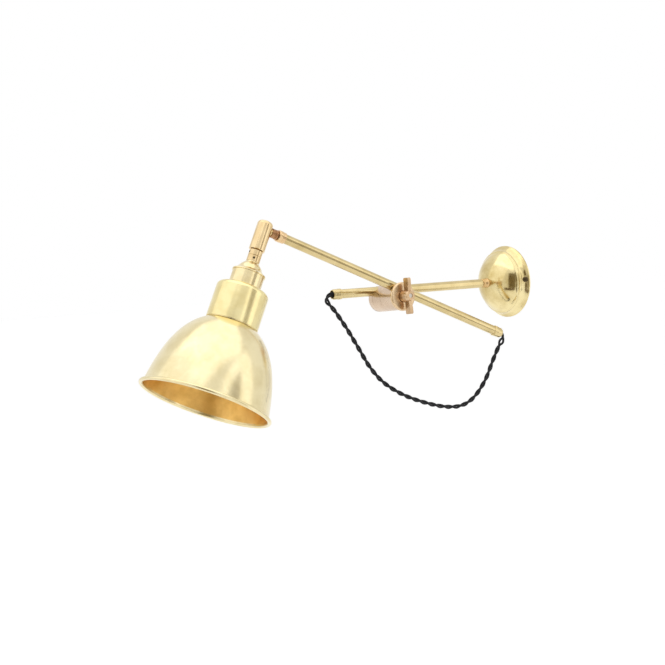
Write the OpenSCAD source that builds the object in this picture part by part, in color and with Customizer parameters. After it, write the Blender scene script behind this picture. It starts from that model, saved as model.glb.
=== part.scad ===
// Adjustable wall lamp: a domed rose, two sliding and pivoting arms in a round clamp, a bell shade.
// Millimetres. Origin at the centre of the rose's back face, on the wall. +Y goes into the wall,
// +Z is up. The pose is the photographed one.

/* [Wall rose] */
// Diameter of the rose over its rim
rose_d = 104; // [90:1:130]
// Height of the dome's crown above the wall
rose_h = 38.5; // [34:0.5:48]
// Wall of the spun brass sheet
sheet_t = 1.2; // [0.8:0.1:1.5]
// Turn of the line through the two rose screws
screw_line = 9; // [0:1:45]
// Distance between the two fixing slots of the mounting plate
slot_pitch = 60.3; // [50:0.1:64]
// Width of a fixing slot
slot_w = 4.4; // [3.5:0.1:5.5]
// Length of a fixing slot, end to end
slot_len = 10; // [8:0.5:12]
// Diameter of the hole for the supply cable
cable_hole = 15; // [10:0.5:18]

/* [Arms] */
// Outer diameter of both arm tubes
tube_d = 12.7; // [12:0.1:14]
// Length of the fixed arm's tube
rear_len = 253; // [240:1:300]
// Length of the sliding arm's tube
front_len = 378; // [340:1:420]
// Length of the ferrule on each open tube end
ferrule_len = 14.5; // [12:0.5:20]
// Outer diameter of the ferrules
ferrule_d = 14.8; // [14:0.2:17]

/* [Pose] */
// Distance from the wall to the clamp's pivot
reach = 225; // [180:1:260]
// Turn of the fixed arm about its own length
roll = 9; // [-90:1:90]
// Rise of the sliding arm above level
pitch = 23.3; // [-30:0.1:75]
// Length of the sliding arm outside the clamp, to the middle of the knuckle
throw = 226; // [205:1:340]
// Turn of the head about the sliding arm
head_roll = 0.8; // [-60:0.1:60]
// Outward lean of the head from square to the arm
lean = 3.8; // [0:0.1:8]

/* [Clamp] */
// Diameter of the clamp's round blocks
block_d = 36; // [34:0.5:42]
// Distance between the two arm centrelines along the bolt
arm_gap = 36.5; // [32:0.5:44]
// Brass left above each tube
top_wall = 1; // [0.6:0.1:2]
// Diameter of the pressure disc
disc_d = 39; // [37:0.5:48]
// Thickness of the pressure disc
disc_t = 6; // [3:0.2:8]
// Diameter of the clamp bolt
bolt_d = 6; // [5:0.5:7]
// Tip to tip length of the wing nut
wing_span = 49; // [40:1:56]
// Thickness of the wings
wing_t = 5.2; // [3:0.2:7]
// Turn of the wings from upright
wing_turn = 0; // [-180:1:180]

/* [Head] */
// Diameter of the knuckle
knuckle_d = 20.6; // [19:0.2:24]
// Diameter of the collar and coupler under the knuckle
coupler_d = 17.4; // [15:0.2:19]
// Diameter of the lampholder's barrel
holder_d = 41.8; // [39:0.2:44]
// Diameter of the shade's neck
neck_d = 68; // [58:0.5:74]
// Length of the neck, shoulder included
neck_len = 50.5; // [40:0.5:60]
// Length of the bell under the neck
bell_len = 107.5; // [95:0.5:130]
// Diameter of the shade over its rolled rim
rim_d = 172; // [150:1:190]
// Thickness of the rolled rim
bead_d = 5; // [3:0.2:7]
// Wall of the shade
shade_t = 1; // [0.7:0.1:1.5]

/* [Flex] */
// Overall diameter of the twisted fabric flex
flex_d = 6.4; // [5:0.2:6.8]

/* [Hidden] */
$fn = 96;
// Pieces of one body that slide over each other
slip = 0.05;
// Hollow threaded tube of the joints
nipple_r = tube_d/2 - 1.35;
nipple_bore = 3.4;
tube_r = tube_d/2;
tube_in = nipple_r + slip;
rose_r = rose_d/2;
// Rose profile
ridge_n = 16.4;
ridge_r = rose_r - 9.9;
dome_rise = rose_h - ridge_n;
dome_r = (ridge_r*ridge_r + dome_rise*dome_rise)/(2*dome_rise);
dome_c = rose_h - dome_r;
crown_r = 7.6;
crown_n = dome_c + sqrt(dome_r*dome_r - crown_r*crown_r);
collar_len = 10;
groove_len = 1;
tube_n = crown_n + collar_len + groove_len;
plate_t = 1.6;
// Rose screws: they stand square on the cove, their heads in spot faces
screw_r = rose_r - 4.4;
screw_n = 5.5;
screw_tilt = 55;
screw_head_r = 3.9;
boss_t = 1.5;
// Terminal block and earth screw on the plate
block_up = 26;
block_w = 28;
block_h = 12;
block_t = 10;
pole = 9;
pole_n = 5;
pole_bore = 1.9;
earth_y = -29;
earth_r = 2;
// One of the flex's cores inside the tubes and the head
core_r = 2.7;
// Clamp, on its own axis: the arm centrelines lie above it
block_r = block_d/2;
h = block_r - tube_r - top_wall;
bolt_r = bolt_d/2;
jaw_back = -9.5;
split = arm_gap/2;
face_front = arm_gap + tube_r - 0.35;
disc_back = arm_gap + tube_r + slip;
disc_front = disc_back + disc_t;
washer_t = 1.2;
nut_back = disc_front + washer_t + 0.1;
nut_len = 14.4;
wing_base = 3;
// Along the arms
grip = 8;
tube_end = tube_n + rear_len;
tip_n = tube_end - grip + ferrule_len;
front_in = throw - 26 - front_len;
front_out = throw - 26;
tip_t = front_in + grip - ferrule_len;
bush_back = 10;
// Down the head's own axis, from the knuckle's middle
knuckle_r = knuckle_d/2;
knuckle_bottom = 29.5;
gap_s = 0.8;
split_s = 38;
coupler_end = 46;
cap_end = coupler_end + 16.5;
cap_floor = coupler_end + 2.4;
stem_end = cap_floor + 7;
holder_r = holder_d/2;
seat_r = holder_r - 1.7;
neck_top = cap_end + 18.5;
neck_r = neck_d/2;
neck_end = neck_top + neck_len;
shoulder_w = 11;
shoulder_h = 7;
sleeve_r = neck_r - shade_t - slip;
sleeve_len = 8;
bell_end = neck_end + bell_len;
rim_r = rim_d/2;
// Lamp socket: a narrow foot, then the screw shell
wire_end = neck_top - 6;
insulator_top = neck_top - 4;
socket_r = 13.3;
socket_t = 0.95;
socket_top = neck_top + 9;
foot_r = socket_r - 2.8;
foot_end = socket_top + 5;
socket_end = socket_top + 24;
flex_r = flex_d/2;

// Frames
module out_of_wall() rotate([90, 0, 0]) children();
module clamp_frame() out_of_wall() translate([0, 0, reach]) rotate([0, 0, roll])
  rotate(a = 120, v = [1, 1, 1]) translate([-h, 0, 0]) children();
module front_clamp() clamp_frame() rotate([0, 0, -pitch]) children();
module arm_frame() front_clamp() translate([h, 0, arm_gap]) rotate([-90, 0, 0]) children();
module head_frame() arm_frame() translate([0, 0, throw]) rotate([0, 0, head_roll])
  rotate([0, -90, 0]) rotate([0, lean, 0]) children();

// A plain ring from z = a to z = b
module ring(ro, ri, a, b) rotate_extrude() polygon([[ri, a], [ro, a], [ro, b], [ri, b]]);
// A solid round bar from z = a to z = b
module bar(r, a, b) translate([0, 0, a]) cylinder(r = r, h = b - a);
// A hexagon nut over its flats
module hex_nut(flats, bore, a, b) difference() {
  translate([0, 0, a]) cylinder(r = flats/2/cos(30), h = b - a, $fn = 6);
  bar(bore, a - 1, b + 1);
}
// Points of an ellipse's and of a circle's arc about (cx, cy)
function oval(cx, cy, rx, ry, a0, a1, n) =
  [for (i = [0 : n]) let (a = a0 + (a1 - a0)*i/n) [cx + rx*cos(a), cy + ry*sin(a)]];
function arc(cx, cy, r, a0, a1, n) = oval(cx, cy, r, r, a0, a1, n);

// Wall rose
dome_a0 = asin((ridge_n - dome_c)/dome_r);
dome_a1 = acos(crown_r/dome_r);
in_r = dome_r - sheet_t;
in_a0 = asin((ridge_n - 2.2 - dome_c)/in_r);
in_a1 = acos((crown_r + 0.4)/in_r);
rose_outer = concat([[rose_r, 0], [rose_r, 1.8], [rose_r - 4.3, 5.6], [rose_r - 5.6, 7.6],
  [rose_r - 6.4, 9.8], [rose_r - 6.9, 12.4], [rose_r - 6.7, 13], [rose_r - 7, 13.7],
  [rose_r - 7.9, 14.1], [rose_r - 8, 14.6], [rose_r - 8.2, 15.3], [rose_r - 9, 15.8]],
  arc(0, dome_c, dome_r, dome_a0, dome_a1, 30));
rose_inner = concat([[rose_r - sheet_t, 0], [rose_r - sheet_t, 1.2],
  [rose_r - 4.3 - sheet_t, 5], [rose_r - 6.8 - sheet_t, 11.8]],
  arc(0, dome_c, in_r, in_a0, in_a1, 18));
bore_n = nipple_r + slip;
function flip(p) = [for (i = [len(p) - 1 : -1 : 0]) p[i]];
module at_screws() for (a = [screw_line, screw_line + 180])
  rotate([0, 0, a]) translate([screw_r, 0, screw_n]) rotate([0, screw_tilt, 0]) children();

module rose() color("#d9b86a") out_of_wall() difference() {
  union() {
    rotate_extrude() polygon(concat(rose_outer, [[bore_n, crown_n]],
      [[bore_n, crown_n - sheet_t]], [[crown_r, crown_n - sheet_t]], flip(rose_inner)));
    intersection() {
      rotate_extrude() polygon(concat(rose_outer, [[0, crown_n], [0, 0]]));
      at_screws() bar(screw_head_r + 1.3, -boss_t, 6);
    }
  }
  at_screws() bar(screw_head_r + 0.2, 0, 8);
  at_screws() bar(2.2, -boss_t - 1, 1);
}
// Two ears of the plate rise behind the rose's cove and take its screws
ear_back = -boss_t - 0.2 - plate_t;
module rose_screws() color("#2a2522") out_of_wall() at_screws() difference() {
  rotate_extrude() let (r = screw_head_r, e = ear_back - 0.8) polygon([[0, e], [1.6, e], [1.6, 0],
    [r, 0], [r, 1.1], [r - 0.5, 1.7], [r - 1.5, 2.2], [0, 2.4]]);
  for (a = [30, 120]) rotate([0, 0, a]) translate([-2.2, -0.45, 1.1]) cube([4.4, 0.9, 2]);
}
module mounting_plate() color("#b9b9b5") out_of_wall() difference() {
  union() {
    bar(rose_r - 6.5, 0, plate_t);
    intersection() {
      bar(rose_r - 5, 0, plate_t);
      for (a = [0, 180]) rotate([0, 0, screw_line + a]) translate([screw_r - 12, -4.5, 0])
        cube([12, 9, plate_t]);
    }
    intersection() {
      bar(rose_r, 0, 2*screw_n);
      at_screws() translate([-4, -4.5, ear_back]) cube([16, 9, plate_t]);
    }
  }
  for (s = [-1, 1]) translate([s*slot_pitch/2, 0, 0]) {
    for (e = [-1, 1]) translate([e*(slot_len - slot_w)/2, 0, 0]) bar(slot_w/2, -1, plate_t + 1);
    translate([-(slot_len - slot_w)/2, -slot_w/2, -1]) cube([slot_len - slot_w, slot_w, plate_t + 2]);
  }
  translate([0, -14, 0]) bar(cable_hole/2, -1, plate_t + 1);
  translate([0, earth_y, 0]) bar(earth_r, -1, plate_t + 1);
  for (s = [-1, 1]) translate([s*pole*2/3, block_up, 0]) bar(1.6, -1, plate_t + 1);
  at_screws() bar(1.65, ear_back - 1, 0);
}
module terminal_block() color("#efece4") out_of_wall() translate([0, block_up, plate_t]) difference() {
  translate([-block_w/2, -block_h/2, 0]) cube([block_w, block_h, block_t]);
  for (s = [-1, 1]) translate([s*pole, 0, 0]) {
    translate([0, 0, pole_n]) rotate([90, 0, 0]) bar(pole_bore + 0.1, -block_h, block_h);
    bar(pole_bore, pole_n, block_t + 1);
  }
}
module terminal_screws() color("#c9a24e") out_of_wall() for (s = [-1, 1])
  translate([s*pole, block_up, plate_t]) bar(pole_bore - slip, pole_n + 1.9, block_t - 0.4);
module earth_screw() color("#c9a24e") out_of_wall() translate([0, earth_y, 0]) {
  bar(earth_r + 1.6, plate_t, plate_t + 2.4);
  bar(earth_r - slip, 0.2, plate_t + 0.5);
}
module rose_nipple() color("#c9a24e") out_of_wall()
  ring(nipple_r, nipple_bore, crown_n - sheet_t - 8, tube_n + 16);
module rose_washer() color("#c9c9c4") out_of_wall()
  ring(crown_r - 0.3, bore_n, crown_n - sheet_t - washer_t, crown_n - sheet_t);
module rose_locknut() color("#c9a24e") out_of_wall()
  hex_nut(13, bore_n, crown_n - sheet_t - washer_t - 3, crown_n - sheet_t - washer_t);
module rose_collar() color("#c79a72") out_of_wall() rotate_extrude() polygon([[bore_n, crown_n],
  [tube_r + 0.7, crown_n], [tube_r + 0.5, crown_n + 1.2], [tube_r, crown_n + 2.4],
  [tube_r, crown_n + collar_len - 0.4], [tube_r - 0.4, crown_n + collar_len],
  [bore_n, crown_n + collar_len]]);

// Tubes and their fittings, drawn along z from the tube's end face
module ferrule() rotate_extrude() let (fr = ferrule_d/2, g = grip) polygon([
  [tube_r + 0.02, -g], [fr - 0.7, -g], [fr - 0.7, 0.9 - g], [fr, 1.4 - g], [fr, 5.2 - g],
  [fr - 0.3, 5.6 - g], [fr - 0.3, ferrule_len - g - 3], [fr - 0.5, ferrule_len - g - 1.9],
  [fr - 1.1, ferrule_len - g - 0.7], [fr - 2, ferrule_len - g], [tube_in + 0.9, ferrule_len - g],
  [tube_in + 0.3, ferrule_len - g - 1.2], [tube_in + 0.3, slip], [tube_r + 0.02, slip]]);
module bush() rotate_extrude() polygon([[flex_r + 0.3, -9], [tube_in, -9], [tube_in, slip],
  [tube_in + 0.3, slip], [tube_in + 0.3, 3], [flex_r + 1.1, 3], [flex_r + 0.3, 1.8]]);
module rear_arm_tube() color("#d8bb74") out_of_wall() ring(tube_r, tube_in, tube_n, tube_end);
module rear_ferrule() color("#d8bb74") out_of_wall() translate([0, 0, tube_end]) ferrule();
module rear_bush() color("#1d1a18") out_of_wall() translate([0, 0, tube_end]) bush();
module rear_inner_flex() color("#1d1a18") out_of_wall() bar(core_r, crown_n - 22, tip_n - bush_back);

module front_arm_tube() color("#d8bb74") arm_frame() ring(tube_r, tube_in, front_in, front_out);
module front_ferrule() color("#d8bb74") arm_frame() translate([0, 0, front_in])
  rotate([180, 0, 0]) ferrule();
module front_bush() color("#1d1a18") arm_frame() translate([0, 0, front_in])
  rotate([180, 0, 0]) bush();
module front_inner_flex() color("#1d1a18") arm_frame()
  bar(core_r, tip_t + bush_back, throw - 6);
module outer_collar() color("#cda268") arm_frame() rotate_extrude() let (c = front_out) polygon([
  [tube_r + 0.02, c - 6], [tube_r + 0.8, c - 6], [tube_r + 1.1, c - 5.6], [tube_r + 1.1, c - 1.4],
  [tube_r + 1.4, c - 1], [tube_r + 1.4, c + 4.2], [tube_r + 0.9, c + 5],
  [nipple_r + slip, c + 5], [nipple_r + slip, c + slip], [tube_r + 0.02, c + slip]]);
ring_end = throw - knuckle_r - 0.9;
module head_nipple() color("#c9a24e") arm_frame()
  ring(nipple_r, nipple_bore, front_out - 14, throw - 4.6);
module head_lock_ring() color("#6b3a22") arm_frame() rotate_extrude() polygon([
  [nipple_r + slip, front_out + 5.1], [tube_r - 0.6, front_out + 5.1],
  [tube_r, front_out + 5.8], [tube_r, front_out + 8.2], [tube_r - 0.7, front_out + 8.8],
  [tube_r - 0.7, front_out + 9.6], [tube_r - 0.2, front_out + 10.2],
  [tube_r - 0.2, ring_end], [nipple_r + slip, ring_end]]);

// Clamp
module tube_groove(z, r) translate([h, 0, z]) rotate([90, 0, 0]) bar(r, -block_d, block_d);
module rear_jaw() color("#b98a6c") clamp_frame() difference() {
  rotate_extrude() polygon([[0, jaw_back], [block_r - 1.2, jaw_back], [block_r - 0.4, jaw_back + 0.4],
    [block_r, jaw_back + 1.2], [block_r, -0.25], [block_r - 0.25, -0.05], [0, -0.05]]);
  tube_groove(0, tube_r + slip);
  bar(bolt_r + slip, jaw_back - 1, 1);
  bar(5.2, jaw_back - 1, jaw_back + 4.2);
}
module rear_block() color("#b98a6c") clamp_frame() difference() {
  rotate_extrude() polygon([[0, 0.05], [block_r - 0.25, 0.05], [block_r, 0.25],
    [block_r, split - 0.25], [block_r - 0.25, split - 0.05], [0, split - 0.05]]);
  tube_groove(0, tube_r + slip);
  bar(bolt_r + slip, -1, split + 1);
}
module front_block() color("#b98a6c") front_clamp() difference() {
  rotate_extrude() polygon([[0, split + 0.05], [block_r - 0.25, split + 0.05],
    [block_r, split + 0.25], [block_r, face_front - 0.4], [block_r - 0.4, face_front],
    [0, face_front]]);
  tube_groove(arm_gap, tube_r + slip);
  translate([h - tube_r - slip, -block_r, arm_gap]) cube([2*(tube_r + slip), block_d, tube_r]);
  bar(bolt_r + slip, split - 1, face_front + 1);
}
module clamp_disc() color("#a8784e") front_clamp() difference() {
  rotate_extrude() let (r = disc_d/2) polygon([[0, disc_back], [r - 1.2, disc_back],
    [r - 0.4, disc_back + 0.4], [r, disc_back + 1.2], [r, disc_front - 2.4],
    [r - 0.4, disc_front - 1.4], [r - 1.4, disc_front - 0.6], [r - 5, disc_front], [0, disc_front]]);
  bar(bolt_r + slip, disc_back - 1, disc_front + 1);
}
module clamp_bolt() color("#a9977a") clamp_frame() {
  translate([0, 0, jaw_back + 0.4]) cylinder(r = 5, h = 3.8, $fn = 6);
  bar(bolt_r, jaw_back + 1, nut_back + nut_len - 0.8);
}
module clamp_washer() color("#b98a6c") front_clamp()
  ring(bolt_r + 4.2, bolt_r + 0.1, disc_front, disc_front + washer_t);
module wing() difference() {
  translate([0, 0, wing_base]) rotate([90, 0, 0]) translate([0, 0, -wing_t/2])
    linear_extrude(wing_t) polygon(concat(
    [[0, 1.2], [wing_span/2 - 2, 0.6]], arc(wing_span/2 - 2, 2.6, 2, -60, 0, 4),
    arc(wing_span/2 - 2.5, 8.1, 2.5, 0, 90, 5), [[wing_span/2 - 9, 10.4], [10, 9.4], [0, 9.8]]));
  bar(bolt_r + 0.04, -5, nut_len + 5);
}
module wing_nut() color("#a8784e") clamp_frame() translate([0, 0, nut_back])
  rotate([0, 0, wing_turn]) difference() {
    union() {
      rotate_extrude() polygon([[0, 0], [8.2, 0], [8.2, wing_base], [7, nut_len - 1.4],
        [6, nut_len], [0, nut_len]]);
      wing();
      rotate([0, 0, 180]) wing();
    }
    bar(bolt_r + 0.04, -1, nut_len + 1);
  }

// Head, drawn down its own axis
module knuckle() color("#cda258") head_frame() difference() {
  rotate_extrude() let (r = knuckle_r, t = -11, b = knuckle_bottom) polygon(concat(
    [[0, t], [r - 4.6, t + 0.2]], arc(r - 4.6, t + 4.8, 4.6, -84, 0, 7),
    [[r, b - 0.5], [r - 0.5, b], [0, b]]));
  bar(nipple_r + slip, 10, knuckle_bottom + 1);
  bar(4.4, -6, 12);
  rotate([0, -lean, 0]) rotate([0, -90, 0]) bar(nipple_r + slip, 1, knuckle_r + 4);
}
module head_stem() color("#c9a24e") head_frame() ring(nipple_r, nipple_bore, 10.5, stem_end);
module stem_nut() color("#c9a24e") head_frame() 
  hex_nut(13, nipple_r + slip, cap_floor + 0.1, cap_floor + 3.5);
collar_grub_a = 6;
collar_grub_s = (knuckle_bottom + gap_s + split_s)/2;
coupler_grub_a = -62;
coupler_grub_s = (split_s + coupler_end)/2;
module grub_hole(s) translate([0, 0, s]) rotate([0, 90, 0]) cylinder(r = 1.55, h = coupler_d);
module grub(s) translate([0, 0, s]) rotate([0, 90, 0]) difference() {
  translate([0, 0, nipple_r + 0.1]) cylinder(r = 1.5, h = coupler_d/2 - nipple_r - 0.5);
  translate([0, 0, coupler_d/2 - 1.4]) cylinder(r = 0.8, h = 3, $fn = 6);
}
module swivel_collar() color("#cda258") head_frame() difference() {
  rotate_extrude() let (r = coupler_d/2, a = knuckle_bottom + gap_s, b = split_s - 0.05) polygon([
    [bore_n, a], [r - 0.5, a], [r, a + 0.5], [r, b - 0.3], [r - 0.3, b], [bore_n, b]]);
  rotate([0, 0, collar_grub_a]) grub_hole(collar_grub_s);
}
module swivel_grub() color("#2a2522") head_frame()
  rotate([0, 0, collar_grub_a]) grub(collar_grub_s);
module holder_coupler() color("#cda258") head_frame() difference() {
  rotate_extrude() let (r = coupler_d/2, a = split_s + 0.05, b = coupler_end) polygon([
    [bore_n, a], [r - 0.3, a], [r, a + 0.3], [r, b], [bore_n, b]]);
  rotate([0, 0, coupler_grub_a]) grub_hole(coupler_grub_s);
}
module coupler_grub() color("#2a2522") head_frame()
  rotate([0, 0, coupler_grub_a]) grub(coupler_grub_s);
function from_cap(p) = [for (q = p) [q[0], coupler_end + q[1]]];
cap_out = let (c = coupler_d/2) concat(from_cap([[c - 0.2, 0], [c + 0.5, 1.2], [c + 1.6, 2.6],
  [c + 3.6, 4.6], [c + 5.6, 7], [c + 7.2, 9.8], [c + 9.4, 12.6], [holder_r - 0.4, 14],
  [holder_r + 0.9, 14.8]]), [[holder_r + 0.9, cap_end]]);
cap_in = let (c = coupler_d/2) concat([[holder_r - 1, cap_end]], from_cap([[holder_r - 1, 15.4],
  [c + 8.6, 13.8], [c + 6.2, 10.6], [c + 4.4, 7.8], [c + 2.4, 5.8], [c + 0.2, 3.9]]),
  [[c - 0.3, cap_floor], [bore_n, cap_floor], [bore_n, coupler_end]]);
module lampholder_cap() color("#dcbc68") head_frame()
  rotate_extrude() polygon(concat(cap_out, cap_in));
module lampholder_body() color("#dcbc68") head_frame() rotate_extrude() polygon([
  [holder_r - 1.2, cap_end], [holder_r - 0.2, cap_end], [holder_r, cap_end + 0.3],
  [holder_r, neck_top - 0.2], [seat_r, neck_top - 0.2], [seat_r, socket_end - 4],
  [seat_r - 1.2, socket_end - 4], [seat_r - 1.2, neck_top - 1.4], [holder_r - 1.2, neck_top - 1.4]]);
module socket_insulator() color("#efe9dc") head_frame() rotate_extrude()
  let (r = socket_r + socket_t + slip, f = foot_r + socket_t + slip) polygon([
    [nipple_bore, insulator_top], [seat_r - 1.25, insulator_top], [seat_r - 1.25, socket_end - 4],
    [r, socket_end - 4], [r, foot_end - socket_t - slip], [f, foot_end - socket_t - slip],
    [f, socket_top - 2], [nipple_bore, socket_top - 2]]);
module socket_shell() color("#c9a24e") head_frame() rotate_extrude()
  let (t = socket_t, r = socket_r, f = foot_r) polygon([
    [4, socket_top - 2], [f + t, socket_top - 2], [f + t, foot_end - t], [r + t, foot_end - t],
    [r + t, socket_end - 2], [r, socket_end - 2], [r, foot_end], [f, foot_end],
    [f, socket_top - 2 + t], [4, socket_top - 2 + t]]);
module socket_contact() color("#c9a24e") head_frame() union() {
  bar(nipple_bore - slip, wire_end, socket_top - 2);
  bar(2.6, socket_top - 3, foot_end - 0.6);
}
module head_flex() color("#1d1a18") head_frame() bar(core_r, 8, wire_end);
module shade_ring() color("#dcbc68") head_frame()
  ring(neck_r - shoulder_w, seat_r + slip, neck_top + shade_t, neck_top + shade_t + 4);
module shade_neck() color("#d9b45c") head_frame() rotate_extrude() let (n = neck_top, t = shade_t)
  polygon(concat([[seat_r + slip, n]],
    oval(neck_r - shoulder_w, n + shoulder_h, shoulder_w, shoulder_h, -90, 0, 12),
    [[neck_r, neck_end], [neck_r - t, neck_end]],
    oval(neck_r - shoulder_w, n + shoulder_h, shoulder_w - t, shoulder_h - t, 0, -90, 12),
    [[seat_r + slip, n + t]]));
// Bell: four points steer its curve, from the sleeve inside the neck to the rim
b0 = [sleeve_r, neck_end + 0.8];
b1 = [neck_r + 31.2, neck_end + 20.7];
b2 = [rim_r - 10.5, neck_end + 61];
b3 = [rim_r - 4.3, bell_end - 2.6];
function bez(a, b, c, d, t) = (1-t)*(1-t)*(1-t)*a + 3*(1-t)*(1-t)*t*b + 3*(1-t)*t*t*c + t*t*t*d;
function slope(a, b, c, d, t) = 3*(1-t)*(1-t)*(b-a) + 6*(1-t)*t*(c-b) + 3*t*t*(d-c);
function inward(v) = [-v[1], v[0]]/norm(v);
bell_n = 40;
bell_out = [for (i = [0 : bell_n]) bez(b0, b1, b2, b3, i/bell_n)];
bell_in = [for (i = [bell_n : -1 : 0]) bez(b0, b1, b2, b3, i/bell_n)
  + shade_t*inward(slope(b0, b1, b2, b3, i/bell_n))];
bead_r = bead_d/2;
module shade_bell() color("#c9a146") head_frame() rotate_extrude() union() {
  polygon(concat([[sleeve_r, neck_end - sleeve_len]], bell_out, bell_in,
    [[sleeve_r - shade_t, neck_end + 1.4], [sleeve_r - shade_t, neck_end - sleeve_len]]));
  polygon(arc(rim_r - bead_r, bell_end - bead_r, bead_r, 0, 345, 23));
}

// Flex: one tube in three stretches that meet end to end. It leaves each ferrule straight and
// hangs between them. Each row is a share of the way across and a drop below the straight line.
out = [0, -1, 0];
up1 = [-sin(roll), 0, cos(roll)];
side1 = [cos(roll), 0, sin(roll)];
along2 = cos(pitch)*out + sin(pitch)*up1;
up2 = cos(pitch)*up1 - sin(pitch)*out;
function rear_mouth(k) = (tip_n + k)*out;
function front_mouth(k) = reach*out - h*up1 + arm_gap*side1 + h*up2 + (tip_t - k)*along2;
across = front_mouth(0) - rear_mouth(0);
hang = [[-0.024, 4], [-0.03, 9], [-0.018, 14], [0.01, 20], [0.045, 30], [0.09, 44], [0.15, 65],
  [0.22, 89], [0.3, 106], [0.41, 117], [0.54, 122], [0.67, 122], [0.77, 115], [0.845, 99],
  [0.91, 72], [0.955, 42], [0.985, 23], [1.006, 12], [1.016, 5]];
route = concat([for (k = [-bush_back, -5, 0, 2.5]) rear_mouth(k)],
  [for (p = hang) rear_mouth(0) + p[0]*across - [0, 0, p[1]]],
  [for (k = [2, -1, -5, -bush_back]) front_mouth(k)]);
flex_cut1 = 11;
flex_cut2 = 16;
function at(i) = route[max(0, min(len(route) - 1, i))];
function spline(a, b, c, d, t) = 0.5*(2*b + (c - a)*t + (2*a - 5*b + 4*c - d)*t*t
  + (3*b - a - 3*c + d)*t*t*t);
function spot(u) = let (i = min(floor(u), len(route) - 2))
  spline(at(i - 1), at(i), at(i + 1), at(i + 2), u - i);
function unit(v) = v/norm(v);
function heading(u) = let (e = len(route) - 1)
  u < 0.01 ? out : u > e - 0.01 ? along2 : unit(spot(u + 0.01) - spot(u - 0.01));
flat = unit(cross(across, [0, 0, 1]));
module flex(u0, u1) {
  sides = 10;
  rings = [for (i = [2*u0 : 2*u1]) let (t = heading(i/2), e = unit(flat - (flat*t)*t), f = cross(t, e))
    for (k = [0 : sides - 1]) spot(i/2) + flex_r*(cos(360*k/sides)*e + sin(360*k/sides)*f)];
  n = 2*(u1 - u0);
  polyhedron(rings, concat([[for (k = [0 : sides - 1]) k]],
    [for (i = [0 : n - 1]) for (k = [0 : sides - 1])
      [i*sides + k, (i + 1)*sides + k, (i + 1)*sides + (k + 1)%sides, i*sides + (k + 1)%sides]],
    [[for (k = [sides - 1 : -1 : 0]) n*sides + k]]), convexity = 8);
}
module flex_rear() color("#171412") flex(0, flex_cut1);
module flex_middle() color("#171412") flex(flex_cut1, flex_cut2);
module flex_front() color("#171412") flex(flex_cut2, len(route) - 1);

mounting_plate();
rose();
rose_screws();
terminal_block();
terminal_screws();
earth_screw();
rose_nipple();
rose_washer();
rose_locknut();
rose_collar();
rear_arm_tube();
rear_ferrule();
rear_bush();
rear_inner_flex();
rear_jaw();
rear_block();
clamp_bolt();
front_block();
clamp_disc();
clamp_washer();
wing_nut();
front_arm_tube();
front_ferrule();
front_bush();
front_inner_flex();
outer_collar();
head_nipple();
head_lock_ring();
knuckle();
head_stem();
stem_nut();
swivel_collar();
swivel_grub();
holder_coupler();
coupler_grub();
lampholder_cap();
lampholder_body();
socket_insulator();
socket_shell();
socket_contact();
head_flex();
shade_ring();
shade_neck();
shade_bell();
flex_rear();
flex_middle();
flex_front();
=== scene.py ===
import bpy
import math
import numpy as np
from mathutils import Matrix, Vector


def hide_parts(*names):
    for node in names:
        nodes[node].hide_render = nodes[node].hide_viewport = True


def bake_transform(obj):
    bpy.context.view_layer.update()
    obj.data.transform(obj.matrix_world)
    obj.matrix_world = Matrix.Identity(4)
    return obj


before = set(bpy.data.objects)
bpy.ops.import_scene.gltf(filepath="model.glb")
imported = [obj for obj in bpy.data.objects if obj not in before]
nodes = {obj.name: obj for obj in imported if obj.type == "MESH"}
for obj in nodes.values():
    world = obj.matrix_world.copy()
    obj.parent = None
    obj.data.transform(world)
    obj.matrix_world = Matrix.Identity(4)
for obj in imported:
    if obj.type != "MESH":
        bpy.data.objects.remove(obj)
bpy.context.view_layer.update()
MM = 0.001

# Camera, fitted to the photograph
# directions in degrees, its place in metres along right, up and back
az, el = math.radians(56.1), math.radians(8.0)
cam_right, cam_up, cam_back = -0.2553, -0.0749, 2.05
lens_mm, sensor_mm = 75.63, 36.0
right = Vector((math.cos(az), math.sin(az), 0))
back = Vector((math.sin(az) * math.cos(el), -math.cos(az) * math.cos(el), math.sin(el)))
up = back.cross(right)
cam = bpy.data.objects.new("camera", bpy.data.cameras.new("camera"))
cam.data.lens, cam.data.sensor_width = lens_mm, sensor_mm
cam.data.clip_start, cam.data.clip_end = 0.05, 60
cam_place = cam_right * right + cam_up * up + cam_back * back
cam.matrix_world = Matrix.Translation(cam_place) @ Matrix(
    (right, up, back)).transposed().to_4x4()
bpy.context.scene.collection.objects.link(cam)
bpy.context.scene.camera = cam
bpy.context.scene.view_settings.view_transform = "Standard"


# Frames, as in the part's source, in millimetres and degrees
reach, arm_gap, throw = 225.0, 36.5, 226.0
roll, pitch, head_lean, head_turn = (math.radians(a) for a in (9.0, 23.3, 3.8, 0.8))
tube_r, block_r, top_wall = 6.35, 18.0, 1.0
tube_offset = block_r - tube_r - top_wall
rear_len, front_len = 253, 378
ferrule_len, grip, bush_back = 14.5, 8.0, 10.0
rose_r, rose_height, ridge_in, ridge_height, crown_hole_r = 52, 38.5, 9.9, 16.4, 7.6
collar_and_gap, head_end_len = 11, 26
coupler_end, cap_len, barrel_len, neck_len, bell_len = 46, 16.5, 18.5, 50.5, 107.5
bell_end = coupler_end + cap_len + barrel_len + neck_len + bell_len

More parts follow.
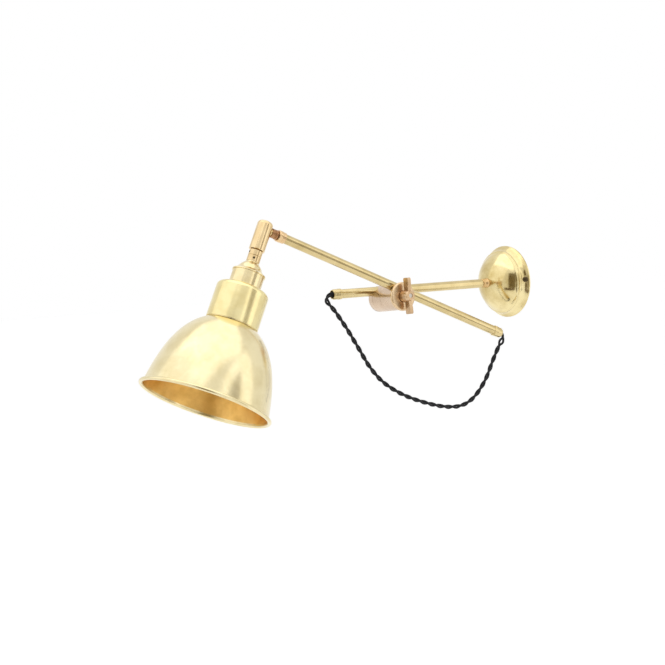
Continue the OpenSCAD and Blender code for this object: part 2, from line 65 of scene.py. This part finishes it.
ridge_r, dome_rise = rose_r - ridge_in, rose_height - ridge_height
dome_r = (ridge_r ** 2 + dome_rise ** 2) / (2 * dome_rise)
crown_n = rose_height - dome_r + math.sqrt(dome_r ** 2 - crown_hole_r ** 2)
tip_n = crown_n + collar_and_gap + rear_len - grip + ferrule_len
tip_t = throw - head_end_len - front_len + grip - ferrule_len
out = np.array([0, -1.0, 0])
up1 = np.array([-math.sin(roll), 0, math.cos(roll)])
side1 = np.array([math.cos(roll), 0, math.sin(roll)])
along2 = math.cos(pitch) * out + math.sin(pitch) * up1
up2 = math.cos(pitch) * up1 - math.sin(pitch) * out
pivot = reach * out - tube_offset * up1
arm2_0 = pivot + arm_gap * side1 + tube_offset * up2
knee = arm2_0 + throw * along2
turn2 = np.array(Matrix.Rotation(head_turn, 3, Vector(along2)))
head_z = turn2 @ (-math.cos(head_lean) * up2 + math.sin(head_lean) * along2)


# Flex
def rear_mouth(k):
    """k mm out of the fixed arm's ferrule."""
    return (tip_n + k) * out


def front_mouth(k):
    """k mm out of the sliding arm's ferrule."""
    return arm2_0 + (tip_t - k) * along2


across = front_mouth(0) - rear_mouth(0)
# each point's share of the way from the rear mouth to the front one, and how many mm it hangs
# below the straight line between them
hang = [(-0.024, 4), (-0.03, 9), (-0.018, 14), (0.01, 20), (0.045, 30), (0.09, 44), (0.15, 65),
        (0.22, 89), (0.3, 106), (0.41, 117), (0.54, 122), (0.67, 122), (0.77, 115), (0.845, 99),
        (0.91, 72), (0.955, 42), (0.985, 23), (1.006, 12), (1.016, 5)]
route = np.array([rear_mouth(k) for k in (-bush_back, -5, 0, 2.5)]
                 + [rear_mouth(0) + f * across - np.array([0, 0, d]) for f, d in hang]
                 + [front_mouth(k) for k in (2, -1, -5, -bush_back)])
# the route's points where one stretch ends and the next begins
cuts = [0, 11, 16, len(route) - 1]
# samples of the smooth curve from one of the route's points to the next
steps = 60
loop_normal = np.cross(across, [0, 0, 1.0])
loop_normal /= np.linalg.norm(loop_normal)


def spot(u):
    """A smooth curve through the route's points, u counted in points."""
    last = len(route) - 1
    i = min(int(u), last - 1)
    t = u - i
    a, b, c, d = (route[max(0, min(last, j))] for j in (i - 1, i, i + 1, i + 2))
    return 0.5 * (2 * b + (c - a) * t + (2 * a - 5 * b + 4 * c - d) * t * t
                  + (3 * b - a - 3 * c + d) * t ** 3)


fine = np.array([spot(u) for u in np.linspace(0, len(route) - 1, steps * (len(route) - 1) + 1)])
run = np.r_[0, np.cumsum(np.linalg.norm(np.diff(fine, axis=0), axis=1))]
route_len = run[-1]


def centre(s):
    """The centreline's place s mm along it."""
    return np.stack([np.interp(s, run, fine[:, k]) for k in range(3)], axis=-1)


def frames(p):
    """Two directions square to a line of points, the first as near as can be to the loop's normal."""
    t = np.gradient(p, axis=0)
    t /= np.linalg.norm(t, axis=1)[:, None]
    e = loop_normal - (t @ loop_normal)[:, None] * t
    e /= np.linalg.norm(e, axis=1)[:, None]
    return e, np.cross(t, e)


# the twisted pair, in mm: a core's radius, one turn's length, where the turns are counted from,
# and the angle there in radians
core_r, twist, twist_from, twist_phase = 1.6, 27.0, 6, 0.5
# how far a core lies from the middle line, in mm, and how its tube is divided along and around
core_offset, ring_step, core_sides = 1.62, 1.3, 12
# where the two cores part a little past each ferrule: distance, half width, how far
part_rear, part_front = (21, 5.0, 0.3), (25, 5.5, 1.0)


def flex_piece(name, node, u0, u1):
    """One stretch of the twisted pair between two route points, bending across a joint."""
    s0, s1 = run[steps * u0], run[steps * u1]
    n = int(round((s1 - s0) / ring_step))
    s = np.linspace(s0, s1, n + 1)
    open_a = np.exp(-((s - part_rear[0]) / part_rear[1]) ** 2)
    open_b = np.exp(-((route_len - s - part_front[0]) / part_front[1]) ** 2)
    off = core_offset + part_rear[2] * open_a + part_front[2] * open_b
    phase = 2 * math.pi * (s - twist_from) / twist + twist_phase
    c = centre(s)
    e, f = frames(c)
    sides = core_sides
    verts, faces, uvs = [], [], []
    for k in (0, 1):
        p = phase + math.pi * k
        q = c + off[:, None] * (np.cos(p)[:, None] * e + np.sin(p)[:, None] * f)
        ee, ff = frames(q)
        base = len(verts)
        for i in range(n + 1):
            for j in range(sides):
                a = 2 * math.pi * j / sides
                verts.append((q[i] + core_r * (math.cos(a) * ee[i] + math.sin(a) * ff[i])) * MM)
        for i in range(n):
            for j in range(sides):
                j2 = (j + 1) % sides
                faces.append((base + i * sides + j, base + i * sides + j2,
                              base + (i + 1) * sides + j2, base + (i + 1) * sides + j))
                uvs.append(((s[i], j), (s[i], j + 1), (s[i + 1], j + 1), (s[i + 1], j)))
        for i, flip in ((0, True), (n, False)):
            ring = [base + i * sides + j for j in range(sides)]
            faces.append(tuple(reversed(ring)) if flip else tuple(ring))
            uvs.append(tuple((s[i], 0) for _ in range(sides)))
    mesh = bpy.data.meshes.new(name)
    mesh.from_pydata([tuple(v) for v in verts], [], faces)
    layer = mesh.uv_layers.new(name="thread")
    flatuv = [(a * MM, b / sides * 2 * math.pi * core_r * MM) for face in uvs for a, b in face]
    layer.data.foreach_set("uv", np.array(flatuv, float).ravel())
    mesh.polygons.foreach_set("use_smooth", [True] * len(mesh.polygons))
    mesh.update()
    obj = bpy.data.objects.new(name, mesh)
    bpy.context.scene.collection.objects.link(obj)
    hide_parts(node)
    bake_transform(obj)
    return obj


flexes = [
    flex_piece("twisted_flex_rear", "flex_rear", cuts[0], cuts[1]),
    flex_piece("twisted_flex_middle", "flex_middle", cuts[1], cuts[2]),
    flex_piece("twisted_flex_front", "flex_front", cuts[2], cuts[3])]


# Smooth turned faces
# corners in one cell of this size, in metres, are taken as one place
same_place = 2e-6


def fetched(items, what, width=1, kind=float):
    """One attribute of all of a mesh's items, with width numbers for each."""
    flat = np.zeros(len(items) * width, kind)
    items.foreach_get(what, flat)
    return flat.reshape(-1, width) if width > 1 else flat


def smooth(obj, angle=32.0):
    """Normals shared over coincident corners whose faces meet at less than the angle."""
    mesh = obj.data
    faces, corners = len(mesh.polygons), len(mesh.loops)
    place = fetched(mesh.vertices, "co", 3)[fetched(mesh.loops, "vertex_index", kind=int)]
    face_normal = fetched(mesh.polygons, "normal", 3)
    start = fetched(mesh.polygons, "loop_start", kind=int)
    count = fetched(mesh.polygons, "loop_total", kind=int)
    face = np.repeat(np.arange(faces), count)
    _, group = np.unique(np.round(place / same_place).astype(np.int64), axis=0, return_inverse=True)
    group = group.ravel()
    order = np.argsort(group, kind="stable")
    group_ends = np.r_[0, np.flatnonzero(np.diff(group[order])) + 1, corners]
    limit = math.cos(math.radians(angle))
    # the corner's own angle weighs each face, so long thin triangles count for what they show
    last = start + count - 1
    after = np.arange(corners) + 1
    after[last] = start
    before = np.arange(corners) - 1
    before[start] = last
    a = place[after] - place
    b = place[before] - place
    a /= np.linalg.norm(a, axis=1)[:, None] + 1e-12
    b /= np.linalg.norm(b, axis=1)[:, None] + 1e-12
    weight = np.arccos(np.clip((a * b).sum(1), -1, 1))
    normal = np.zeros((corners, 3))
    for i0, i1 in zip(group_ends[:-1], group_ends[1:]):
        loops = order[i0:i1]
        fn = face_normal[face[loops]]
        close = (fn @ fn.T) > limit
        normal[loops] = (close * weight[loops][None, :]) @ fn
    normal /= np.linalg.norm(normal, axis=1)[:, None] + 1e-12
    mesh.polygons.foreach_set("use_smooth", [True] * faces)
    mesh.normals_split_custom_set([tuple(v) for v in normal])


for name, obj in nodes.items():
    if not name.startswith("flex_"):
        smooth(obj)


# Materials
class Nodes:
    """A material and its nodes. In add, a name with _ in front is an input's value."""
    def __init__(self, name):
        self.mat = bpy.data.materials.new(name)
        self.mat.use_nodes = True
        self.t = self.mat.node_tree
        self.bsdf = self.t.nodes["Principled BSDF"]

    def add(self, kind, **values):
        n = self.t.nodes.new(kind)
        for k, v in values.items():
            if k.startswith("_"):
                n.inputs[k[1:].replace("_", " ")].default_value = v
            else:
                setattr(n, k, v)
        return n

    def link(self, a, b):
        self.t.links.new(a, b)

    def ramp(self, source, *stops):
        n = self.add("ShaderNodeValToRGB")
        e = n.color_ramp.elements
        while len(e) < len(stops):
            e.new(0.5)
        for i, (p, c) in enumerate(stops):
            e[i].position = p
            e[i].color = (*c, 1) if hasattr(c, "__len__") else (c, c, c, 1)
        self.link(source, n.inputs["Fac"])
        return n.outputs["Color"]


def axis_map(m, origin, z, normal=False):
    """Object coordinates, or normals, turned so that Z runs along a piece's own axis."""
    z = np.array(z, float) / np.linalg.norm(z)
    x = np.cross([0.31, 0.17, 0.93] if abs(z[2]) < 0.9 else [1, 0, 0], z)
    x /= np.linalg.norm(x)
    turn = Matrix([tuple(x), tuple(np.cross(z, x)), tuple(z)])
    tc = m.add("ShaderNodeTexCoord")
    mp = m.add("ShaderNodeMapping", vector_type="VECTOR" if normal else "POINT")
    mp.inputs["Rotation"].default_value = turn.to_euler()
    if not normal:
        mp.inputs["Location"].default_value = -(turn @ Vector(tuple(np.array(origin) * MM)))
    m.link(tc.outputs["Normal" if normal else "Object"], mp.inputs["Vector"])
    return mp.outputs["Vector"]


def inside(m, axis, end):
    """1 on faces that look towards the piece's axis, as a shade's inner side, to end mm along it."""
    across_axis, normal = (m.add("ShaderNodeVectorMath", operation="MULTIPLY") for _ in range(2))
    place = axis_map(m, *axis)
    for product, source in ((across_axis, place), (normal, axis_map(m, *axis, normal=True))):
        m.link(source, product.inputs[0])
        product.inputs[1].default_value = (1, 1, 0)
    dot = m.add("ShaderNodeVectorMath", operation="DOT_PRODUCT")
    m.link(across_axis.outputs[0], dot.inputs[0])
    m.link(normal.outputs[0], dot.inputs[1])
    inwards = m.add("ShaderNodeMath", operation="LESS_THAN")
    m.link(dot.outputs["Value"], inwards.inputs[0])
    inwards.inputs[1].default_value = 0.0
    along = m.add("ShaderNodeSeparateXYZ")
    m.link(place, along.inputs[0])
    above = m.add("ShaderNodeMath", operation="LESS_THAN")
    m.link(along.outputs["Z"], above.inputs[0])
    above.inputs[1].default_value = end * MM
    both = m.add("ShaderNodeMath", operation="MULTIPLY")
    m.link(inwards.outputs[0], both.inputs[0])
    m.link(above.outputs[0], both.inputs[1])
    return both.outputs[0]


def line_in(m, side, inner, target):
    """The inner colour or value takes over on the inside from what already drives the target."""
    mix = m.add("ShaderNodeMix", data_type="RGBA")
    m.link(side, mix.inputs[0])
    m.link(target.links[0].from_socket, mix.inputs[6])
    m.link(inner, mix.inputs[7])
    m.link(mix.outputs[2], target)


# the noise between which a metal goes from its darker to its full colour, and the shade's painted
# inner reflection too
drift_from, drift_to = 0.25, 0.625
painted_inside_from, painted_inside_to = 0.3, 0.6
# the noise between which it goes from its smoothest to its roughest, as shares of its roughness
smear_from, smear_to = 0.3, 0.75
smoothest, roughest = 0.85, 1.25
# the roughness of the shade's inner faces at those two ends
inside_smooth, inside_rough = 0.30, 0.42


def metal(name, color, dark, rough, axis, spin=0.0, grain=0.0, painted_inside=None):
    """Polished metal: slow colour drift, hand marks in the gloss, and lines left by turning; on a
    shade, a deeper amber painted on its inner faces as painted reflection from inside the bell.
    """
    m = Nodes(name)
    vec = axis_map(m, *axis)
    slow = m.add("ShaderNodeTexNoise", _Scale=38.0, _Detail=4.0, _Roughness=0.6)
    m.link(vec, slow.inputs["Vector"])
    m.link(m.ramp(slow.outputs["Fac"], (drift_from, dark), (drift_to, color)),
           m.bsdf.inputs["Base Color"])
    smear = m.add("ShaderNodeTexNoise", _Scale=70.0, _Detail=3.0, _Roughness=0.5)
    m.link(vec, smear.inputs["Vector"])
    m.link(m.ramp(smear.outputs["Fac"], (smear_from, rough * smoothest),
                  (smear_to, rough * roughest)), m.bsdf.inputs["Roughness"])
    # the shade's inner faces: a deeper amber painted in for the reflections inside the bell (painted
    # reflection), with their own roughness
    if painted_inside:
        painted_inside_dark, painted_inside_color, end = painted_inside
        side = inside(m, axis, end)
        line_in(m, side, m.ramp(slow.outputs["Fac"], (painted_inside_from, painted_inside_dark),
                                (painted_inside_to, painted_inside_color)), m.bsdf.inputs["Base Color"])
        line_in(m, side, m.ramp(smear.outputs["Fac"], (smear_from, inside_smooth),
                                (smear_to, inside_rough)), m.bsdf.inputs["Roughness"])
    m.bsdf.inputs["Metallic"].default_value = 1.0
    normal = None
    if spin:
        sep = m.add("ShaderNodeSeparateXYZ")
        m.link(vec, sep.inputs[0])
        comb = m.add("ShaderNodeCombineXYZ")
        m.link(sep.outputs["Z"], comb.inputs["Z"])
        line = m.add("ShaderNodeTexNoise", _Scale=2600.0, _Detail=3.0, _Roughness=0.65)
        m.link(comb.outputs[0], line.inputs["Vector"])
        bump = m.add("ShaderNodeBump", _Strength=spin, _Distance=0.00003)
        m.link(line.outputs["Fac"], bump.inputs["Height"])
        normal = bump.outputs[0]
    if grain:
        pit = m.add("ShaderNodeTexNoise", _Scale=900.0, _Detail=4.0, _Roughness=0.6)
        m.link(vec, pit.inputs["Vector"])
        bump = m.add("ShaderNodeBump", _Strength=grain, _Distance=0.00004)
        m.link(pit.outputs["Fac"], bump.inputs["Height"])
        if normal:
            m.link(normal, bump.inputs["Normal"])
        normal = bump.outputs[0]
    if normal:
        m.link(normal, m.bsdf.inputs["Normal"])
    return m.mat


def plain(name, color, rough, scale=300.0, bump=0.1, coat=0.0):
    """Plastic, porcelain or dull cloth, with a fine mottle."""
    m = Nodes(name)
    vec = axis_map(m, (0, 0, 0), (0, 0, 1))
    n = m.add("ShaderNodeTexNoise", _Scale=scale, _Detail=4.0)
    m.link(vec, n.inputs["Vector"])
    dark = tuple(c * 0.82 for c in color)
    m.link(m.ramp(n.outputs["Fac"], (0.3, dark), (0.7, color)), m.bsdf.inputs["Base Color"])
    m.bsdf.inputs["Roughness"].default_value = rough
    m.bsdf.inputs["Coat Weight"].default_value = coat
    b = m.add("ShaderNodeBump", _Strength=bump, _Distance=0.0001)
    m.link(n.outputs["Fac"], b.inputs["Height"])
    m.link(b.outputs[0], m.bsdf.inputs["Normal"])
    return m.mat


# how far the sleeve's threads lean to each side of the core, in radians
braid_lean = 0.9


def fabric(name):
    """Woven black sleeve: a fine crossing braid along each core."""
    m = Nodes(name)
    uv = m.add("ShaderNodeUVMap", uv_map="thread")
    heights = []
    for turn in (braid_lean, -braid_lean):
        mp = m.add("ShaderNodeMapping")
        mp.inputs["Rotation"].default_value = (0, 0, turn)
        m.link(uv.outputs[0], mp.inputs["Vector"])
        w = m.add("ShaderNodeTexWave", _Scale=420.0, _Distortion=1.5, _Detail=1.0)
        m.link(mp.outputs[0], w.inputs["Vector"])
        heights.append(w.outputs["Fac"])
    mix = m.add("ShaderNodeMath", operation="MAXIMUM")
    m.link(heights[0], mix.inputs[0])
    m.link(heights[1], mix.inputs[1])
    m.link(m.ramp(mix.outputs[0], (0.2, (0.003, 0.003, 0.004)), (1.0, (0.014, 0.014, 0.017))),
           m.bsdf.inputs["Base Color"])
    m.bsdf.inputs["Roughness"].default_value = 0.85
    m.bsdf.inputs["Sheen Weight"].default_value = 0.15
    m.bsdf.inputs["Sheen Roughness"].default_value = 0.4
    b = m.add("ShaderNodeBump", _Strength=0.6, _Distance=0.00025)
    m.link(mix.outputs[0], b.inputs["Height"])
    m.link(b.outputs[0], m.bsdf.inputs["Normal"])
    return m.mat


wall_axis = ((0, 0, 0), (0, -1, 0))
clamp_axis = (pivot, side1)
arm_axis = (arm2_0, along2)
head_axis = (knee, head_z)
# the painted inner reflection stops short of the bell's rolled rim
rim_band = 4.5
painted_inside_end = bell_end - rim_band
PALE, PALE_D = (0.68, 0.55, 0.29), (0.52, 0.40, 0.18)
SHADE, SHADE_D = (0.81, 0.71, 0.44), (0.69, 0.58, 0.32)
GOLD, GOLD_D = (0.80, 0.63, 0.37), (0.64, 0.46, 0.23)
looks = {
    "rose": metal("brass_rose", (0.80, 0.68, 0.37), (0.52, 0.39, 0.15), 0.15, wall_axis, spin=0.1),
    "rear": metal("brass_rear_arm", PALE, PALE_D, 0.16, wall_axis, grain=0.05),
    "front": metal("brass_front_arm", PALE, PALE_D, 0.16, arm_axis, grain=0.05),
    # the shade's inner faces carry a deeper amber, painted in for the reflections inside the bell
    "shade": metal("brass_shade", SHADE, SHADE_D, 0.2, head_axis, spin=0.15,
                   painted_inside=((0.66, 0.41, 0.11), (0.90, 0.60, 0.20), painted_inside_end)),
    "neck": metal("brass_neck", (0.82, 0.71, 0.38), (0.70, 0.57, 0.26), 0.19, head_axis,
                  spin=0.15),
    "head": metal("brass_head", GOLD, GOLD_D, 0.15, head_axis, spin=0.1),
    "holder": metal("brass_holder", (0.83, 0.71, 0.43), (0.70, 0.56, 0.29), 0.16, head_axis,
                    spin=0.1),
    "collar": metal("brass_collar", (0.80, 0.59, 0.35), (0.66, 0.45, 0.23), 0.2, arm_axis),
    "clamp": metal("bronze_clamp", (0.70, 0.55, 0.41), (0.55, 0.41, 0.29), 0.28, clamp_axis,
                   spin=0.6),
    "disc": metal("bronze_disc", (0.74, 0.55, 0.34), (0.56, 0.38, 0.21), 0.26, clamp_axis,
                  grain=0.2),
    "wing": metal("bronze_wing", (0.64, 0.45, 0.27), (0.48, 0.31, 0.17), 0.26, clamp_axis,
                  grain=0.2),
    "rosy": metal("brass_rosy", (0.74, 0.52, 0.27), (0.58, 0.38, 0.17), 0.2, wall_axis),
    "lock": metal("bronze_dark", (0.46, 0.26, 0.13), (0.29, 0.14, 0.06), 0.3, arm_axis, grain=0.3),
    "steel": metal("zinc_steel", (0.68, 0.69, 0.70), (0.55, 0.56, 0.58), 0.35, wall_axis,
                   grain=0.3),
    "bolt": metal("bolt_steel", (0.60, 0.55, 0.48), (0.45, 0.40, 0.34), 0.3, clamp_axis, spin=0.4),
    "dark": metal("black_steel", (0.15, 0.11, 0.055), (0.07, 0.05, 0.028), 0.38, wall_axis,
                  grain=0.4),
    "turned": metal("brass_turned", (0.80, 0.62, 0.30), (0.66, 0.48, 0.2), 0.25, head_axis,
                    spin=0.5),
    "white": plain("terminal_plastic", (0.86, 0.84, 0.79), 0.5),
    "porcelain": plain("porcelain", (0.88, 0.86, 0.80), 0.25, 120.0, 0.03, 0.5),
    "black": plain("black_plastic", (0.02, 0.02, 0.02), 0.45),
    "fabric": fabric("fabric_flex"),
    "sleeve": plain("fabric_inner", (0.02, 0.02, 0.021), 0.85, 1500.0, 0.5)}
# each node's look; what isn't named here is plain turned brass
use = {
    "rose": "rose", "rose_collar": "rosy", "rose_screws": "dark", "mounting_plate": "steel",
    "rose_washer": "steel", "rear_arm_tube": "rear", "rear_ferrule": "rear",
    "front_arm_tube": "front", "front_ferrule": "front", "outer_collar": "collar",
    "head_lock_ring": "lock", "rear_jaw": "clamp", "rear_block": "clamp", "front_block": "clamp",
    "clamp_washer": "clamp", "clamp_disc": "disc", "wing_nut": "wing", "clamp_bolt": "bolt",
    "knuckle": "head", "swivel_collar": "head", "holder_coupler": "head",
    "lampholder_cap": "holder", "lampholder_body": "holder", "shade_ring": "holder",
    "shade_neck": "neck", "shade_bell": "shade", "swivel_grub": "dark", "coupler_grub": "dark",
    "terminal_block": "white", "socket_insulator": "porcelain", "rear_bush": "black",
    "front_bush": "black", "rear_inner_flex": "sleeve", "front_inner_flex": "sleeve",
    "head_flex": "sleeve"}
for name, obj in nodes.items():
    obj.data.materials.clear()
    look = "fabric" if name.startswith("flex_") else use.get(name, "turned")
    obj.data.materials.append(looks[look])
for obj in flexes:
    obj.data.materials.append(looks["fabric"])


# Stage and light
def panel(name, centre_at, size, power):
    """A soft light turned to the lamp's middle; size in metres, power in watts."""
    data = bpy.data.lights.new(name, "AREA")
    data.shape, data.size, data.size_y = "RECTANGLE", size[0], size[1]
    data.energy = power
    light = bpy.data.objects.new(name, data)
    light.location = centre_at
    light.rotation_euler = (middle - centre_at).to_track_quat("-Z", "Y").to_euler()
    bpy.context.scene.collection.objects.link(light)


middle = Vector((0.03, -0.27, 0.0))
panel("light_left", middle - 1.7 * right + 0.7 * back + 0.9 * up, (2.6, 3.0), 8)
panel("light_top", middle + Vector((0, 0, 1.8)), (3.0, 2.6), 14)
panel("light_right", middle + 1.8 * right + 0.9 * back + 0.3 * up, (2.0, 2.4), 7)


def flat_card(name, corners, color):
    """A matt sheet of the studio, with a faint mottle."""
    mesh = bpy.data.meshes.new(name)
    mesh.from_pydata([tuple(c) for c in corners], [], [(0, 1, 2, 3)])
    card = bpy.data.objects.new(name, mesh)
    bpy.context.scene.collection.objects.link(card)
    m = Nodes(name + "_paper")
    mottle = m.add("ShaderNodeTexNoise", _Scale=3.0)
    m.link(m.ramp(mottle.outputs["Fac"], (0.0, tuple(0.95 * c for c in color)), (1.0, color)),
           m.bsdf.inputs["Base Color"])
    m.bsdf.inputs["Roughness"].default_value = 0.9
    mesh.materials.append(m.mat)
    return card, m


def standing_card(name, direction, distance, width, height, color):
    """A dark card that faces the lamp and is seen only in reflections, as a darker band."""
    d = direction.normalized()
    side = Vector((0, 0, 1)).cross(d).normalized() * width / 2
    rise = d.cross(side).normalized() * height / 2
    c = middle + distance * d
    card, _ = flat_card(name, (c - side - rise, c + side - rise, c + side + rise, c - side + rise),
                        color)
    card.visible_camera = card.visible_shadow = card.visible_diffuse = False


standing_card("card_front", back - 0.12 * right, 3.2, 1.5, 3.0, (0.34, 0.27, 0.16))
standing_card("card_side", 0.55 * back + 0.9 * right, 2.6, 0.9, 2.6, (0.16, 0.12, 0.07))
standing_card("card_low", back - 0.3 * right - 0.75 * up, 2.4, 1.6, 0.8, (0.18, 0.11, 0.05))


def seen_directly(tree):
    """1 for rays that show the background itself: from the camera, or in metal and glass."""
    rays = tree.nodes.new("ShaderNodeLightPath")
    total = rays.outputs["Is Camera Ray"]
    for kind in ("Is Glossy Ray", "Is Transmission Ray"):
        add = tree.nodes.new("ShaderNodeMath")
        add.operation, add.use_clamp = "ADD", True
        tree.links.new(total, add.inputs[0])
        tree.links.new(rays.outputs[kind], add.inputs[1])
        total = add.outputs[0]
    return total


# the floor's height and half its side, in metres, and how strongly it glows
floor_z, floor_half, floor_glow = -1.1, 8.0, 0.45
floor_corners = [(x * floor_half, y * floor_half, floor_z)
                 for x, y in ((-1, -1), (1, -1), (1, 1), (-1, 1))]
_, fm = flat_card("floor", floor_corners, (0.9, 0.9, 0.9))
# the paper glows a little where it is seen directly, so that it meets the white behind it
fm.bsdf.inputs["Emission Color"].default_value = (1, 1, 1, 1)
glow = fm.add("ShaderNodeMath", operation="MULTIPLY")
fm.link(seen_directly(fm.t), glow.inputs[0])
glow.inputs[1].default_value = floor_glow
fm.link(glow.outputs[0], fm.bsdf.inputs["Emission Strength"])

world = bpy.data.worlds.new("studio")
bpy.context.scene.world = world
world.use_nodes = True
wt = world.node_tree
bg = wt.nodes["Background"]
bg.inputs["Color"].default_value = (1, 1, 1, 1)
level = wt.nodes.new("ShaderNodeMapRange")
light_level, seen_level = 0.6, 1.0
level.inputs["To Min"].default_value = light_level
level.inputs["To Max"].default_value = seen_level
wt.links.new(seen_directly(wt), level.inputs["Value"])
wt.links.new(level.outputs["Result"], bg.inputs["Strength"])
